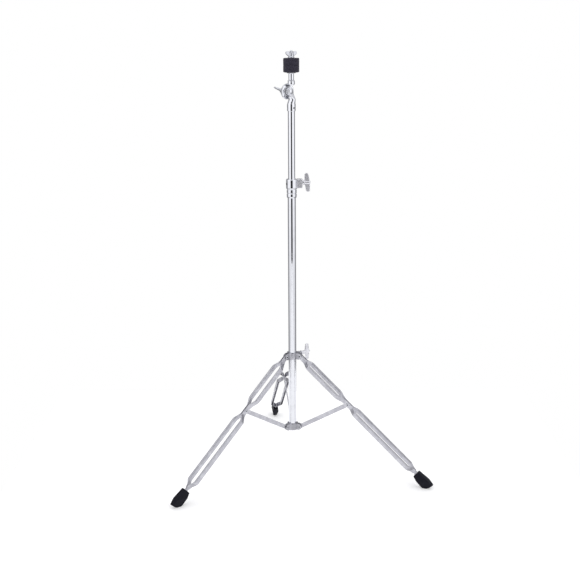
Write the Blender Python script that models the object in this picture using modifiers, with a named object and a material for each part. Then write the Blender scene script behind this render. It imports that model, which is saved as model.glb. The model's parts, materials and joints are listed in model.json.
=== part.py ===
"""Straight cymbal stand with a double-braced folding tripod.

Metres, +Z up. The frame's origin is on the floor, in the middle of the footprint, and the stand's own
axis is moved back from it by POLE_Y. One leg points along +Y.
"""
import math

import bmesh
import bpy

# ---- Driving dimensions ------------------------------------------------------------------------

GAP = 0.00035                 # clearance between two pieces that touch or run together

# Tubes of the column
BASE_TUBE_R = 0.0111          # 22.2 mm tube
BASE_TUBE_WALL = 0.0012
UPPER_TUBE_R = 0.009525       # 19.05 mm tube
UPPER_TUBE_WALL = 0.0012
BASE_TUBE_LOW = 0.1210
BASE_TUBE_TOP = 0.8077
UPPER_TUBE_LOW = 0.496
UPPER_TUBE_TOP = 1.030

# Folding tripod, seen in one leg's upright plane: r from the column's axis, z from the floor
HUB_PIVOT_R = 0.023           # leg hinge, on the sliding hub
HUB_PIVOT_Z = 0.339
BRACE_PIVOT_R = 0.022         # brace hinge, on the fixed hub
BRACE_PIVOT_Z = 0.127
LEG_AIM_R = 0.396             # a point near the foot that the leg's axis runs to
LEG_AIM_Z = 0.012
MID_JOINT = 0.189             # along the leg, from its hinge to the brace's rivet
FOOT_RIVET = 0.444            # along the leg, from its hinge to the rivet of the foot's stem
LEG_SIDES = {"back": 90.0, "left": 210.0, "right": 330.0}

# Leg rails: pressed channels, open underneath and pinched to flat tongues at the joints
RAIL_DEPTH = 0.0116
TONGUE_DEPTH = 0.0134
TONGUE_IN = 0.0016
TONGUE_OUT = 0.0031
SPREAD_IN = 0.0116
SPREAD_OUT = 0.0186
RAIL_SHEET = 0.0013
RAIL_START = -0.0060
RAIL_END = 0.4500

# Rivets
RIVET_R = 0.0025
RIVET_HEAD_R = 0.0045
FOOT_RIVET_R = 0.0018
FOOT_RIVET_HEAD_R = 0.0033

# Braces
BRACE_HALF_THICK = 0.00125
BRACE_HALF_WIDTH = 0.0058

# Hubs
HUB_RING_R = 0.0155
HUB_HALF_HEIGHT = 0.009
LEG_EAR_IN = TONGUE_OUT + GAP
LEG_EAR_OUT = 0.0065
BRACE_EAR_IN = 0.0016
BRACE_EAR_OUT = 0.0055
EAR_REACH = 0.0285

# Wing bolts
BOLT_R = 0.0037
HUB_BOLT_ANGLE = 30.0
CLAMP_BOLT_ANGLE = -8.7
CLAMP_BOLT_Z = 0.8260

# Height clamp
CLAMP_LOW = 0.7850
CLAMP_WAIST = 0.8080
CLAMP_TOP = 0.8345
CLAMP_RING_R = 0.0153
CLAMP_COLLAR_R = 0.0136
CLAMP_PIN_ANGLE = 200.0
CLAMP_PIN_Z = 0.8230

# Tilter
TILT_Z = 1.064                # tilting axis
TILT_ANGLE = 121.0            # the way that axis points, towards its wing nut
TILT_EAR_FRONT = 0.0050
TILT_EAR_BACK = 0.0115
TILT_EAR_R = 0.0105
SOCKET_R = 0.0115
SOCKET_LOW = 1.014
SOCKET_TOP = 1.035
SET_SCREW_ANGLE = 296.0
SET_SCREW_Z = 1.0226
HEAD_FRONT = 0.0134
HEAD_BACK = 0.0262
HEAD_R = 0.0205

# Cymbal post, felts and rod
COLLAR_R = 0.0095
COLLAR_LOW = 1.0805
COLLAR_TOP = 1.0930
POST_R = 0.0073
SEAT_TOP = 1.1127
FELT_R = 0.0211
FELT_BORE_R = 0.0066
FELT_TALL = 0.0182
SLEEVE_R = 0.0062
ROD_R = 0.0039
ROD_TOP = 1.1690

# Rubber feet, seen in the leg's upright plane: r, z and half the width there
FOOT_CORNERS = (
    (0.3710, 0.0468, 0.0074),   # top, outer
    (0.3578, 0.0322, 0.0072),   # top, inner
    (0.3662, 0.0200, 0.0096),   # waist, inner
    (0.3997, 0.0248, 0.0096),   # waist, outer
    (0.3790, 0.0, 0.0048),      # sole, inner
    (0.3985, 0.0, 0.0048),      # sole, outer
    (0.4125, 0.0115, 0.0046),   # toe
)

# ---- Values that follow --------------------------------------------------------------------------

LEG_DROP = math.atan2(HUB_PIVOT_Z - LEG_AIM_Z, LEG_AIM_R - HUB_PIVOT_R)
MID_R = HUB_PIVOT_R + MID_JOINT * math.cos(LEG_DROP)
MID_Z = HUB_PIVOT_Z - MID_JOINT * math.sin(LEG_DROP)
BRACE_RISE = math.atan2(MID_Z - BRACE_PIVOT_Z, MID_R - BRACE_PIVOT_R)
BRACE_LENGTH = math.hypot(MID_Z - BRACE_PIVOT_Z, MID_R - BRACE_PIVOT_R)
SIN60 = math.sin(math.radians(60))
FOOT_TIP_R, _, TOE_HALF_WIDTH = FOOT_CORNERS[-1]
FRONT_REACH = FOOT_TIP_R * 0.5 + TOE_HALF_WIDTH * SIN60
POLE_Y = (FRONT_REACH - FOOT_TIP_R) / 2

FELT_LOW = SEAT_TOP + GAP
FELT_MID = FELT_LOW + FELT_TALL + GAP
FELT_TOP = FELT_MID + FELT_TALL

CHROME = ((0.80, 0.81, 0.84), 0.12, 1.0)
PLATED_STEEL = ((0.66, 0.66, 0.70), 0.30, 1.0)
NYLON = ((0.05, 0.05, 0.055), 0.45, 0.0)
RUBBER = ((0.02, 0.02, 0.025), 0.65, 0.0)
FELT = ((0.045, 0.043, 0.050), 0.95, 0.0)

# ---- Scene ---------------------------------------------------------------------------------------

for old in list(bpy.data.objects):
    bpy.data.objects.remove(old, do_unlink=True)

stand = bpy.data.collections.new("cymbal_stand")
cutters = bpy.data.collections.new("cutters")
for group in (stand, cutters):
    bpy.context.scene.collection.children.link(group)


def empty(name, parent=None, location=(0, 0, 0), rotation=(0, 0, 0)):
    """A frame that pieces are placed in; rotation in degrees."""
    frame = bpy.data.objects.new(name, None)
    frame.empty_display_size = 0.02
    frame.parent = parent
    frame.location = location
    frame.rotation_euler = [math.radians(angle) for angle in rotation]
    stand.objects.link(frame)
    return frame


def put(obj, parent, location, rotation, group):
    obj.parent = parent
    obj.location = location
    obj.rotation_euler = [math.radians(angle) for angle in rotation]
    group.objects.link(obj)
    return obj


def give_material(obj, look):
    colour, roughness, metallic = look
    material = bpy.data.materials.new(obj.name)
    material.use_nodes = True
    shader = material.node_tree.nodes["Principled BSDF"]
    shader.inputs["Base Color"].default_value = (*colour, 1.0)
    shader.inputs["Roughness"].default_value = roughness
    shader.inputs["Metallic"].default_value = metallic
    obj.data.materials.clear()
    obj.data.materials.append(material)


def piece(obj, look):
    give_material(obj, look)
    obj.data.shade_smooth()
    obj.data.set_sharp_from_angle(angle=math.radians(35))
    return obj


def hide(obj):
    obj.hide_render = True
    obj.display_type = "WIRE"
    return obj


# ---- Shapes --------------------------------------------------------------------------------------

def arc(centre, radius, start, end, steps):
    """Points on an arc, from angle start to angle end in degrees."""
    points = []
    for i in range(steps + 1):
        angle = math.radians(start + (end - start) * i / steps)
        points.append((centre[0] + radius * math.cos(angle), centre[1] + radius * math.sin(angle)))
    return points


def turned(name, profile, parent=None, location=(0, 0, 0), rotation=(0, 0, 0), steps=24,
           closed=False, group=None):
    """A turned piece: (radius, height) points down its outer side, round local Z."""
    mesh = bpy.data.meshes.new(name)
    edges = [(i, i + 1) for i in range(len(profile) - 1)]
    if closed:
        edges.append((len(profile) - 1, 0))
    mesh.from_pydata([(radius, 0, height) for radius, height in profile], edges, [])
    obj = put(bpy.data.objects.new(name, mesh), parent, location, rotation, group or stand)
    screw = obj.modifiers.new("turn", "SCREW")
    screw.axis = "Z"
    screw.steps = steps
    screw.render_steps = steps
    screw.use_merge_vertices = True
    screw.merge_threshold = 0.00001
    screw.use_smooth_shade = True
    return obj


def cylinder(radius, low, high):
    """Profile of a plain cylinder, for turned()."""
    return [(0, high), (radius, high), (radius, low), (0, low)]


def ring(inner, outer, low, high):
    """Closed profile of a plain ring, for turned()."""
    return [(outer, high), (outer, low), (inner, low), (inner, high)]


def flat(name, loops, half_thick, parent=None, location=(0, 0, 0), rotation=(0, 0, 0), group=None):
    """A flat outline (the first loop) with holes (the other loops), extruded both ways, as a mesh."""
    curve = bpy.data.curves.new(name, "CURVE")
    curve.dimensions = "2D"
    curve.fill_mode = "BOTH"
    curve.extrude = half_thick
    for loop in loops:
        spline = curve.splines.new("POLY")
        spline.points.add(len(loop) - 1)
        for point, (x, y) in zip(spline.points, loop):
            point.co = (x, y, 0, 1)
        spline.use_cyclic_u = True
    source = bpy.data.objects.new(name + "_outline", curve)
    stand.objects.link(source)
    bpy.context.view_layer.update()
    graph = bpy.context.evaluated_depsgraph_get()
    mesh = bpy.data.meshes.new_from_object(source.evaluated_get(graph))
    bpy.data.objects.remove(source, do_unlink=True)
    mesh.name = name
    shape = bmesh.new()
    shape.from_mesh(mesh)
    bmesh.ops.remove_doubles(shape, verts=shape.verts, dist=0.00001)
    bmesh.ops.recalc_face_normals(shape, faces=shape.faces)
    shape.to_mesh(mesh)
    shape.free()
    return put(bpy.data.objects.new(name, mesh), parent, location, rotation, group or stand)


def box(name, size, parent=None, location=(0, 0, 0), rotation=(0, 0, 0), group=None):
    mesh = bpy.data.meshes.new(name)
    shape = bmesh.new()
    bmesh.ops.create_cube(shape, size=1.0)
    bmesh.ops.scale(shape, vec=size, verts=shape.verts)
    shape.to_mesh(mesh)
    shape.free()
    return put(bpy.data.objects.new(name, mesh), parent, location, rotation, group or stand)


def boolean(obj, tool, operation):
    modifier = obj.modifiers.new(operation.lower(), "BOOLEAN")
    modifier.operation = operation
    modifier.solver = "EXACT"
    modifier.object = hide(tool)
    return obj


def bevel(obj, width, segments=2, angle=35):
    modifier = obj.modifiers.new("bevel", "BEVEL")
    modifier.width = width
    modifier.segments = segments
    modifier.limit_method = "ANGLE"
    modifier.angle_limit = math.radians(angle)
    return obj


def stadium(start, end, radius, steps=6):
    """Outline of a bar with round ends, along X from start to end."""
    return arc((end, 0), radius, -90, 90, steps) + arc((start, 0), radius, 90, 270, steps)


def circle(centre, radius, steps=12):
    return arc(centre, radius, 0, 360, steps)[:-1]


# ---- Frames ----------------------------------------------------------------------------------------

column = empty("column", None, (0, POLE_Y, 0))
sides = {}
leg_frames = {}
leg_lines = {}
brace_lines = {}
for side, angle in LEG_SIDES.items():
    sides[side] = empty("side_" + side, column, (0, 0, 0), (0, 0, angle))
    leg_frames[side] = empty("leg_pivot_" + side, sides[side], (HUB_PIVOT_R, 0, HUB_PIVOT_Z))
    leg_lines[side] = empty("leg_line_" + side, leg_frames[side], (0, 0, 0),
                            (0, math.degrees(LEG_DROP), 0))
    brace_lines[side] = empty("brace_line_" + side, sides[side], (BRACE_PIVOT_R, 0, BRACE_PIVOT_Z),
                              (0, -math.degrees(BRACE_RISE), 0))

UPRIGHT = (90, 0, 0)          # turns a flat outline's XY plane into a frame's XZ plane


# ---- Column ----------------------------------------------------------------------------------------

def make_base_tube():
    inner = BASE_TUBE_R - BASE_TUBE_WALL
    profile = ring(inner, BASE_TUBE_R, BASE_TUBE_LOW, BASE_TUBE_TOP)
    piece(turned("base_tube", profile, column, steps=32, closed=True), CHROME)

    plug_in = inner - GAP
    profile = [(0, BASE_TUBE_LOW + 0.016), (plug_in - 0.001, BASE_TUBE_LOW + 0.016),
               (plug_in, BASE_TUBE_LOW + 0.014), (plug_in, BASE_TUBE_LOW - GAP),
               (BASE_TUBE_R, BASE_TUBE_LOW - GAP), (BASE_TUBE_R, BASE_TUBE_LOW - 0.002),
               (BASE_TUBE_R - 0.0015, BASE_TUBE_LOW - 0.0035), (0, BASE_TUBE_LOW - 0.0035)]
    piece(turned("base_end_plug", profile, column), NYLON)


def make_upper_tube():
    inner = UPPER_TUBE_R - UPPER_TUBE_WALL
    profile = ring(inner, UPPER_TUBE_R, UPPER_TUBE_LOW, UPPER_TUBE_TOP)
    piece(turned("upper_tube", profile, column, steps=32, closed=True), CHROME)

    flange_r = BASE_TUBE_R - BASE_TUBE_WALL - GAP
    shank_r = inner - GAP
    profile = [(0, UPPER_TUBE_LOW + 0.022), (shank_r - 0.001, UPPER_TUBE_LOW + 0.022),
               (shank_r, UPPER_TUBE_LOW + 0.020), (shank_r, UPPER_TUBE_LOW - GAP),
               (flange_r, UPPER_TUBE_LOW - GAP), (flange_r, UPPER_TUBE_LOW - 0.012),
               (flange_r - 0.001, UPPER_TUBE_LOW - 0.013), (0, UPPER_TUBE_LOW - 0.013)]
    piece(turned("guide_plug", profile, column), NYLON)


# ---- Hubs ------------------------------------------------------------------------------------------

def hub_outline(slot, ear):
    """Plan of a hub: a ring with three slotted lugs, whose ears take the hinge rivets."""
    spread = math.degrees(math.asin(ear / HUB_RING_R))
    corner = 0.0012
    slot_bottom = HUB_RING_R
    points = []
    for angle in sorted(LEG_SIDES.values()):
        local = [(EAR_REACH, -ear + corner), (EAR_REACH, -slot), (slot_bottom, -slot),
                 (slot_bottom, slot), (EAR_REACH, slot), (EAR_REACH, ear - corner)]
        local.insert(0, (EAR_REACH - corner, -ear))
        local.append((EAR_REACH - corner, ear))
        turn = math.radians(angle)
        for x, y in local:
            points.append((x * math.cos(turn) - y * math.sin(turn),
                           x * math.sin(turn) + y * math.cos(turn)))
        points += arc((0, 0), HUB_RING_R, angle + spread, angle + 120 - spread, 4)
    return points


def make_hub(name, z, pivot_r, slot, ear):
    """A ring round the base tube, with ears whose outer ends are rounded top and bottom."""
    bore = circle((0, 0), BASE_TUBE_R + GAP, 24)
    hub = flat(name, [hub_outline(slot, ear), bore], HUB_HALF_HEIGHT, column, (0, 0, z))
    crown = [(0, HUB_HALF_HEIGHT + 0.001), (pivot_r, HUB_HALF_HEIGHT + 0.001)]
    crown += arc((pivot_r - 0.0030, 0), HUB_HALF_HEIGHT, 70, -70, 6)
    crown += [(pivot_r, -HUB_HALF_HEIGHT - 0.001), (0, -HUB_HALF_HEIGHT - 0.001)]
    envelope = turned(name + "_envelope", crown, column, (0, 0, z), steps=36, group=cutters)
    boolean(hub, envelope, "INTERSECT")
    for side in LEG_SIDES:
        hole = turned(f"{name}_hole_{side}", cylinder(RIVET_R + GAP, -0.02, 0.02), sides[side],
                      (pivot_r, 0, z), UPRIGHT, steps=12, group=cutters)
        boolean(hub, hole, "DIFFERENCE")
    return hub


def make_rivet(name, parent, location, half_grip, radius, head_r):
    """A rivet with a domed head at each end, along local Z turned across the leg."""
    head = head_r * 0.42
    top = [(0, half_grip + head), (head_r * 0.75, half_grip + head * 0.65), (head_r, half_grip),
           (radius, half_grip)]
    bottom = [(r, -z) for r, z in reversed(top)]
    piece(turned(name, top + bottom, parent, location, UPRIGHT, steps=12), CHROME)


def make_hubs():
    upper = make_hub("upper_hub", HUB_PIVOT_Z, HUB_PIVOT_R, LEG_EAR_IN, LEG_EAR_OUT)
    bolt_side = empty("hub_bolt_line", column, (0, 0, HUB_PIVOT_Z), (0, 90, HUB_BOLT_ANGLE))
    boss = turned("hub_boss", cylinder(0.0072, 0.0135, 0.0240), bolt_side, steps=24, group=cutters)
    boolean(upper, boss, "UNION")
    hole = turned("hub_bolt_hole", cylinder(BOLT_R + GAP, 0.0060, 0.0300), bolt_side, steps=20,
                  group=cutters)
    boolean(upper, hole, "DIFFERENCE")
    piece(upper, PLATED_STEEL)
    lower = make_hub("lower_hub", BRACE_PIVOT_Z, BRACE_PIVOT_R, BRACE_EAR_IN, BRACE_EAR_OUT)
    piece(lower, PLATED_STEEL)
    for side in LEG_SIDES:
        make_rivet("leg_rivet_" + side, sides[side], (HUB_PIVOT_R, 0, HUB_PIVOT_Z),
                   LEG_EAR_OUT + GAP, RIVET_R, RIVET_HEAD_R)
        make_rivet("brace_rivet_" + side, sides[side], (BRACE_PIVOT_R, 0, BRACE_PIVOT_Z),
                   BRACE_EAR_OUT + GAP, RIVET_R, RIVET_HEAD_R)


# ---- Legs ------------------------------------------------------------------------------------------

# Where a rail opens and closes, along the leg: tongue, ramp out, channel, ramp in
OPENINGS = ((0.023, 0.038, 0.152, 0.174), (0.203, 0.221, 0.426, 0.440))


def rail_plan(sign):
    """Plan outline of a rail: along the leg, and across it on one side."""
    outer = [(RAIL_START, TONGUE_OUT)]
    inner = [(RAIL_START, TONGUE_IN)]
    for leave, spread, close, back in OPENINGS:
        outer += [(leave, TONGUE_OUT), (spread, SPREAD_OUT), (close, SPREAD_OUT), (back, TONGUE_OUT)]
        inner += [(leave + 0.0012, TONGUE_IN), (spread + 0.0025, SPREAD_IN),
                  (close - 0.0025, SPREAD_IN), (back - 0.0012, TONGUE_IN)]
    outer.append((RAIL_END, TONGUE_OUT))
    inner.append((RAIL_END, TONGUE_IN))
    return [(s, sign * u) for s, u in outer + inner[::-1]]


def rail_side():
    """Side outline of a rail: where the channel is pressed flat, its tongue is deeper."""
    deep = TONGUE_DEPTH / 2
    shallow = RAIL_DEPTH / 2
    top = []
    for leave, spread, close, back in OPENINGS:
        top += [(leave, deep), (spread, shallow), (close, shallow), (back, deep)]
    bottom = [(s, -n) for s, n in top]
    far_end = arc((RAIL_END - deep, 0), deep, 90, -90, 12)
    near_end = arc((RAIL_START + deep, 0), deep, 270, 90, 12)
    return top + far_end + bottom[::-1] + near_end


def channel_plan(opening, sign):
    """Plan of the hollow under a rail: its walls are one sheet thick on both sides."""
    leave, spread, close, back = opening
    wall = RAIL_SHEET
    end = 0.005
    points = [(spread + end, SPREAD_OUT - wall), (close - end, SPREAD_OUT - wall),
              (close - end, SPREAD_IN + wall), (spread + end, SPREAD_IN + wall)]
    return [(s, sign * u) for s, u in points]


def make_rail(side, letter, sign):
    name = f"rail_{letter}_{side}"
    line = leg_lines[side]
    rail = flat(name, [rail_plan(sign)], TONGUE_DEPTH / 2 + 0.0002, line)
    for i, opening in enumerate(OPENINGS):
        hollow = flat(f"{name}_hollow_{i}", [channel_plan(opening, sign)], RAIL_DEPTH / 2 + 0.001, line,
                      (0, 0, -RAIL_SHEET - 0.001), group=cutters)
        boolean(rail, hollow, "DIFFERENCE")
    trim = flat(name + "_side", [rail_side()], 0.03, line, rotation=UPRIGHT, group=cutters)
    boolean(rail, trim, "INTERSECT")
    for where, radius in ((0, RIVET_R), (MID_JOINT, RIVET_R), (FOOT_RIVET, FOOT_RIVET_R)):
        hole = turned(f"{name}_hole_{where * 1000:.0f}", cylinder(radius + GAP, -0.03, 0.03), line,
                      (where, 0, 0), UPRIGHT, steps=12, group=cutters)
        boolean(rail, hole, "DIFFERENCE")
    piece(rail, PLATED_STEEL)


def make_mid_rivet(side, letter, sign):
    """Half of the brace's rivet: it stays in its own rail, clear of the brace between the rails."""
    grip = TONGUE_OUT + GAP
    head = RIVET_HEAD_R * 0.42
    profile = [(0, grip + head), (RIVET_HEAD_R * 0.75, grip + head * 0.65), (RIVET_HEAD_R, grip),
               (RIVET_R, grip), (RIVET_R, TONGUE_IN), (0, TONGUE_IN)]
    piece(turned(f"mid_rivet_{letter}_{side}", profile, leg_lines[side], (MID_JOINT, 0, 0),
                 (-90 * sign, 0, 0), steps=12), CHROME)


def make_foot(side):
    """A rubber boot, widest at its waist and narrow at its sole, pushed on to the flat stem."""
    mesh = bpy.data.meshes.new("foot_" + side)
    shape = bmesh.new()
    for r, z, half_width in FOOT_CORNERS:
        for across in (-half_width, half_width):
            shape.verts.new((r - HUB_PIVOT_R, across, z - HUB_PIVOT_Z))
    bmesh.ops.convex_hull(shape, input=shape.verts)
    bmesh.ops.dissolve_limit(shape, angle_limit=math.radians(1), verts=shape.verts, edges=shape.edges)
    bmesh.ops.recalc_face_normals(shape, faces=shape.faces)
    shape.to_mesh(mesh)
    shape.free()
    foot = put(bpy.data.objects.new("foot_" + side, mesh), leg_frames[side], (0, 0, 0), (0, 0, 0),
               stand)
    bevel(foot, 0.0010, 1, 20)
    slot = box(f"foot_slot_{side}", (0.040, 0.0031, 0.0112), leg_lines[side], (0.455, 0, 0),
               group=cutters)
    boolean(foot, slot, "DIFFERENCE")
    piece(foot, RUBBER)

    stem_outline = stadium(RAIL_END - 0.012, 0.4690, 0.0052)
    hole = circle((FOOT_RIVET, 0), FOOT_RIVET_R + GAP, 12)
    piece(flat("foot_stem_" + side, [stem_outline, hole], BRACE_HALF_THICK, leg_lines[side],
               rotation=UPRIGHT), PLATED_STEEL)
    make_rivet("foot_rivet_" + side, leg_lines[side], (FOOT_RIVET, 0, 0), TONGUE_OUT + GAP,
               FOOT_RIVET_R, FOOT_RIVET_HEAD_R)


def make_brace(side):
    outline = stadium(0, BRACE_LENGTH, BRACE_HALF_WIDTH)
    holes = [circle((0, 0), RIVET_R + GAP), circle((BRACE_LENGTH, 0), RIVET_R + GAP)]
    piece(flat("brace_" + side, [outline] + holes, BRACE_HALF_THICK, brace_lines[side],
               rotation=UPRIGHT), PLATED_STEEL)


def make_legs():
    for side in LEG_SIDES:
        for letter, sign in (("a", 1), ("b", -1)):
            make_rail(side, letter, sign)
            make_mid_rivet(side, letter, sign)
        make_foot(side)
        make_brace(side)


# ---- Wing bolts and nuts ---------------------------------------------------------------------------

def paddle(base, lean, root_half, tip_half, reach):
    """One wing's outline: from its root on the hub's axis out to a round tip at height reach."""
    tip = (base + lean, reach - tip_half)
    return [(base + root_half, 0.003)] + arc(tip, tip_half, 0, 180, 8) + [(base - root_half, 0.003)]


def wings(base, lean, root_half, tip_half, reach):
    """Outline of both wings: the upper paddle and its mirror image."""
    upper = paddle(base, lean, root_half, tip_half, reach)
    lower = [(x, -y) for x, y in reversed(upper)]
    return upper + lower


def wing_bolt(name, line, tip, shoulder, end, reach):
    """A T-shaped wing bolt along its line's Z: shank, hub and two paddles in the upright plane."""
    shank = [(0, end), (0.0040, end), (0.0052, end - 0.0012), (0.0052, shoulder + 0.004),
             (0.0066, shoulder + 0.003), (0.0066, shoulder), (BOLT_R, shoulder), (BOLT_R, tip + 0.001),
             (BOLT_R - 0.001, tip), (0, tip)]
    bolt = turned(name, shank, line, steps=20)
    middle = end - 0.0085
    paddles = flat(name + "_paddles", [wings(middle, 0.0005, 0.0072, 0.0055, reach)], 0.0022, line,
                   rotation=(90, -90, 0), group=cutters)
    bevel(paddles, 0.0009, 2)
    boolean(bolt, paddles, "UNION")
    return piece(bolt, CHROME)


def make_wing_bolts():
    line = bpy.data.objects["hub_bolt_line"]
    wing_bolt("hub_wing_bolt", line, BASE_TUBE_R + GAP, 0.0300, 0.0610, 0.0240)
    line = empty("clamp_bolt_line", column, (0, 0, CLAMP_BOLT_Z), (0, 90, CLAMP_BOLT_ANGLE))
    wing_bolt("clamp_wing_bolt", line, 0.0126, 0.0300, 0.0500, 0.0255)


# ---- Height clamp ----------------------------------------------------------------------------------

def make_clamp():
    bore = BASE_TUBE_R + GAP
    bushing_out = 0.0122
    upper_bore = bushing_out + GAP
    step = BASE_TUBE_TOP + GAP / 2
    profile = [(CLAMP_RING_R - 0.0018, CLAMP_TOP), (CLAMP_RING_R, CLAMP_TOP - 0.0018),
               (CLAMP_RING_R, CLAMP_WAIST + 0.006), (CLAMP_COLLAR_R + 0.0004, CLAMP_WAIST + 0.001),
               (CLAMP_COLLAR_R, CLAMP_WAIST), (CLAMP_COLLAR_R, CLAMP_LOW + 0.0135),
               (CLAMP_COLLAR_R - 0.0007, CLAMP_LOW + 0.0125),
               (CLAMP_COLLAR_R - 0.0007, CLAMP_LOW + 0.0110), (CLAMP_COLLAR_R, CLAMP_LOW + 0.0100),
               (CLAMP_COLLAR_R, CLAMP_LOW + 0.003), (bore + 0.0008, CLAMP_LOW), (bore, CLAMP_LOW),
               (bore, step), (upper_bore, step), (upper_bore, CLAMP_TOP - 0.0026),
               (UPPER_TUBE_R + GAP, CLAMP_TOP - 0.0026), (UPPER_TUBE_R + GAP, CLAMP_TOP)]
    clamp = turned("height_clamp", profile, column, closed=True)

    line = empty("clamp_lug_line", column, (0, 0, CLAMP_BOLT_Z), (0, 0, CLAMP_BOLT_ANGLE))
    low, high = -0.0148, CLAMP_TOP - CLAMP_BOLT_Z + 0.0006
    corner = 0.0045
    reach = 0.0285
    side_view = [(0.0128, low), (reach - corner, low)]
    side_view += arc((reach - corner, low + corner), corner, -80, 0, 4)
    side_view += arc((reach - corner, high - corner), corner, 0, 90, 4)
    side_view += [(0.0128, high)]
    lug = flat("clamp_lug", [side_view], 0.0085, line, rotation=UPRIGHT, group=cutters)
    bevel(lug, 0.0012, 2)
    boolean(clamp, lug, "UNION")
    hole = turned("clamp_bolt_hole", cylinder(BOLT_R + GAP, 0.0110, 0.0350), line,
                  rotation=(0, 90, 0), steps=20, group=cutters)
    boolean(clamp, hole, "DIFFERENCE")
    pin_line = empty("clamp_pin_line", column, (0, 0, CLAMP_PIN_Z), (0, 90, CLAMP_PIN_ANGLE))
    pin_hole = turned("clamp_pin_hole", cylinder(0.0035, 0.0110, 0.0200), pin_line, steps=16,
                      group=cutters)
    boolean(clamp, pin_hole, "DIFFERENCE")
    piece(clamp, CHROME)
    piece(turned("clamp_pin", cylinder(0.0031, bushing_out + GAP, CLAMP_RING_R - 0.0009), pin_line,
                 steps=16), NYLON)
    sleeve = ring(UPPER_TUBE_R + GAP, bushing_out, step + GAP, CLAMP_TOP - 0.0030)
    piece(turned("clamp_bushing", sleeve, column, closed=True), NYLON)


# ---- Tilter ----------------------------------------------------------------------------------------

def make_tilter_base(frame):
    """A socket on the upper tube that narrows to an upright ear beside the stand's axis."""
    bore = UPPER_TUBE_R + GAP
    roof = UPPER_TUBE_TOP + GAP
    socket = [(0, SOCKET_TOP), (SOCKET_R - 0.002, SOCKET_TOP), (SOCKET_R, SOCKET_TOP - 0.002),
              (SOCKET_R, SOCKET_LOW + 0.0008), (SOCKET_R - 0.0008, SOCKET_LOW), (bore, SOCKET_LOW),
              (bore, roof), (0, roof)]
    base = turned("tilter_base", socket, column, steps=32)
    low = SOCKET_TOP - 0.002 - TILT_Z
    arm_side = [(-0.0088, low), (TILT_EAR_BACK - 0.002, low), (TILT_EAR_BACK, low + 0.009),
                (TILT_EAR_BACK, TILT_EAR_R), (TILT_EAR_FRONT, TILT_EAR_R),
                (TILT_EAR_FRONT, -0.0105), (0.0015, -0.0150)]
    arm = flat("tilter_arm", [arm_side], 0.0135, frame, rotation=UPRIGHT, group=cutters)
    face = arc((0, 0), TILT_EAR_R, -50, 90, 9) + arc((-0.0022, 0), TILT_EAR_R, 90, 185, 7)
    face += [(-0.0094, low - 0.001), (0.0056, low - 0.001), (0.0034, -0.0180)]
    face_trim = flat("tilter_arm_face", [face], 0.03, frame, rotation=(90, 0, 90), group=cutters)
    boolean(arm, face_trim, "INTERSECT")
    boolean(base, arm, "UNION")
    hole = turned("tilter_bolt_hole", cylinder(0.0032 + GAP, -0.005, 0.02), frame,
                  rotation=(0, 90, 0), steps=16, group=cutters)
    boolean(base, hole, "DIFFERENCE")
    screw_line = empty("set_screw_line", column, (0, 0, SET_SCREW_Z), (0, 90, SET_SCREW_ANGLE))
    screw_hole = turned("set_screw_hole", cylinder(0.0022, 0.0090, 0.0130), screw_line, steps=12,
                        group=cutters)
    boolean(base, screw_hole, "DIFFERENCE")
    piece(base, CHROME)
    piece(turned("set_screw", cylinder(0.0018, UPPER_TUBE_R + GAP, SOCKET_R - 0.0004), screw_line,
                 steps=12), NYLON)


def make_tilter_bolt(frame):
    """A domed bolt through the ear, the washer and the head, to the wing nut."""
    face = TILT_EAR_FRONT - GAP
    profile = [(0, 0.0460), (0.0026, 0.0460), (0.0032, 0.0452), (0.0032, face), (0.0085, face)]
    profile += [(0.0085, face - 0.0015)]
    profile += [(r, face - 0.0015 - d) for r, d in ((0.0076, 0.0016), (0.0056, 0.0027), (0.0030, 0.0033))]
    profile.append((0, face - 0.0050))
    piece(turned("tilter_bolt", profile, frame, rotation=(0, 90, 0)), CHROME)
    washer = ring(0.0032 + GAP, 0.0115, TILT_EAR_BACK + GAP, HEAD_FRONT - GAP)
    piece(turned("friction_washer", washer, frame, rotation=(0, 90, 0), closed=True), NYLON)


def make_tilter_head(frame):
    """A bowl round the tilting axis, with a neck up to the collar that carries the cymbal post."""
    bore = 0.0032 + GAP
    bowl = [(0.0115, HEAD_BACK), (0.0150, HEAD_BACK - 0.0012), (0.0185, HEAD_BACK - 0.0045),
            (HEAD_R, HEAD_FRONT + 0.0040), (HEAD_R, HEAD_FRONT + 0.0010),
            (HEAD_R - 0.0010, HEAD_FRONT), (bore, HEAD_FRONT), (bore, HEAD_BACK)]
    head = turned("tilter_head", bowl, frame, rotation=(0, 90, 0), steps=32, closed=True)
    low = COLLAR_LOW - TILT_Z
    high = COLLAR_TOP - TILT_Z
    neck_side = [(HEAD_FRONT + 0.0004, 0.0090), (HEAD_BACK - 0.0050, 0.0090),
                 (HEAD_BACK - 0.0064, 0.0165), (0.0062, high - 0.0040), (-0.0040, high - 0.0040),
                 (-0.0040, low + 0.0020), (0.0060, 0.0130), (HEAD_FRONT + 0.0004, 0.0125)]
    neck = flat("tilter_neck", [neck_side], 0.0080, frame, rotation=UPRIGHT, group=cutters)
    bevel(neck, 0.0020, 2)
    boolean(head, neck, "UNION")
    collar = [(0, high), (COLLAR_R - 0.0012, high), (COLLAR_R, high - 0.0012), (COLLAR_R, low + 0.0020),
              (COLLAR_R - 0.0020, low), (0, low)]
    collar_tool = turned("tilter_collar", collar, frame, steps=32, group=cutters)
    boolean(head, collar_tool, "UNION")
    socket = turned("cymbal_rod_socket", cylinder(ROD_R + GAP, high - 0.0080, high + 0.01), frame,
                    steps=16, group=cutters)
    boolean(head, socket, "DIFFERENCE")
    piece(head, CHROME)


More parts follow.
